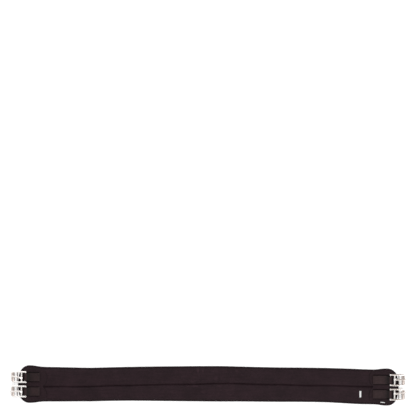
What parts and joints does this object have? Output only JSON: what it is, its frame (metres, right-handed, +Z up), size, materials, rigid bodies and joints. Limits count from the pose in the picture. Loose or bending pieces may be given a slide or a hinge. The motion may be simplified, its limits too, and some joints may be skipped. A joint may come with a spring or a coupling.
{
  "type": "saddle girth",
  "caption": "Padded saddle girth strap with a stitched centre seam and roller buckles on hinged frames at both ends for fastening to billet straps.",
  "frame": {"origin": "middle of the girth's length and width, on the plane that the lining lies on", "axes": "+X along the girth towards the end with the two labels, +Y across it, +Z up from the lining to the buckles"},
  "size_m": [1.2068, 0.112, 0.021],
  "materials": {
    "cover": "satin",
    "binding": "satin",
    "lining": "matte",
    "foam": "matte",
    "webbing": "matte",
    "patch": "satin",
    "chape": "satin",
    "buckle_steel": "polished",
    "tongue_steel": "polished",
    "roller_steel": "polished",
    "label": "matte"
  },
  "bodies": {
    "girth": {"outer_cover": "cover", "edge_binding": "binding", "lining": "lining", "foam_pad_front": "foam", "foam_pad_back": "foam", "load_web_front": "webbing", "load_web_back": "webbing", "end_patch_left": "patch", "end_patch_right": "patch", "chape_left_front": "chape", "chape_left_back": "chape", "chape_right_front": "chape", "chape_right_back": "chape", "brand_label": "label", "size_tag": "label"},
    "frame_left_front": {"buckle_frame_left_front": "buckle_steel"},
    "tongue_left_front": {"tongue_left_front": "tongue_steel"},
    "roller_left_front": {"roller_left_front": "roller_steel"},
    "frame_left_back": {"buckle_frame_left_back": "buckle_steel"},
    "tongue_left_back": {"tongue_left_back": "tongue_steel"},
    "roller_left_back": {"roller_left_back": "roller_steel"},
    "frame_right_front": {"buckle_frame_right_front": "buckle_steel"},
    "tongue_right_front": {"tongue_right_front": "tongue_steel"},
    "roller_right_front": {"roller_right_front": "roller_steel"},
    "frame_right_back": {"buckle_frame_right_back": "buckle_steel"},
    "tongue_right_back": {"tongue_right_back": "tongue_steel"},
    "roller_right_back": {"roller_right_back": "roller_steel"}
  },
  "joints": [
    {"name": "frame_left_front_turn", "type": "hinge", "parent": "girth", "child": "frame_left_front", "pos_m": [-0.5565, -0.022, 0.01495], "axis": [0, 1, 0], "range_deg": [0, 90]},
    {"name": "tongue_left_front_turn", "type": "hinge", "parent": "frame_left_front", "child": "tongue_left_front", "pos_m": [-0.5685, -0.022, 0.01495], "axis": [0, 1, 0], "range_deg": [0, 100]},
    {"name": "roller_left_front_spin", "type": "hinge", "parent": "frame_left_front", "child": "roller_left_front", "pos_m": [-0.595, -0.022, 0.01305], "axis": [0, 1, 0], "continuous": true},
    {"name": "frame_left_back_turn", "type": "hinge", "parent": "girth", "child": "frame_left_back", "pos_m": [-0.5565, 0.022, 0.01495], "axis": [0, 1, 0], "range_deg": [0, 90]},
    {"name": "tongue_left_back_turn", "type": "hinge", "parent": "frame_left_back", "child": "tongue_left_back", "pos_m": [-0.5685, 0.0193, 0.01495], "axis": [0, 1, 0], "range_deg": [0, 100]},
    {"name": "roller_left_back_spin", "type": "hinge", "parent": "frame_left_back", "child": "roller_left_back", "pos_m": [-0.595, 0.022, 0.01305], "axis": [0, 1, 0], "continuous": true},
    {"name": "frame_right_front_turn", "type": "hinge", "parent": "girth", "child": "frame_right_front", "pos_m": [0.5565, -0.022, 0.01495], "axis": [0, -1, 0], "range_deg": [0, 90]},
    {"name": "tongue_right_front_turn", "type": "hinge", "parent": "frame_right_front", "child": "tongue_right_front", "pos_m": [0.5685, -0.0202, 0.01495], "axis": [0, -1, 0], "range_deg": [0, 100]},
    {"name": "roller_right_front_spin", "type": "hinge", "parent": "frame_right_front", "child": "roller_right_front", "pos_m": [0.595, -0.022, 0.01305], "axis": [0, 1, 0], "continuous": true},
    {"name": "frame_right_back_turn", "type": "hinge", "parent": "girth", "child": "frame_right_back", "pos_m": [0.5565, 0.022, 0.01495], "axis": [0, -1, 0], "range_deg": [0, 90]},
    {"name": "tongue_right_back_turn", "type": "hinge", "parent": "frame_right_back", "child": "tongue_right_back", "pos_m": [0.5685, 0.0235, 0.01495], "axis": [0, -1, 0], "range_deg": [0, 100]},
    {"name": "roller_right_back_spin", "type": "hinge", "parent": "frame_right_back", "child": "roller_right_back", "pos_m": [0.595, 0.022, 0.01305], "axis": [0, 1, 0], "continuous": true}
  ]
}
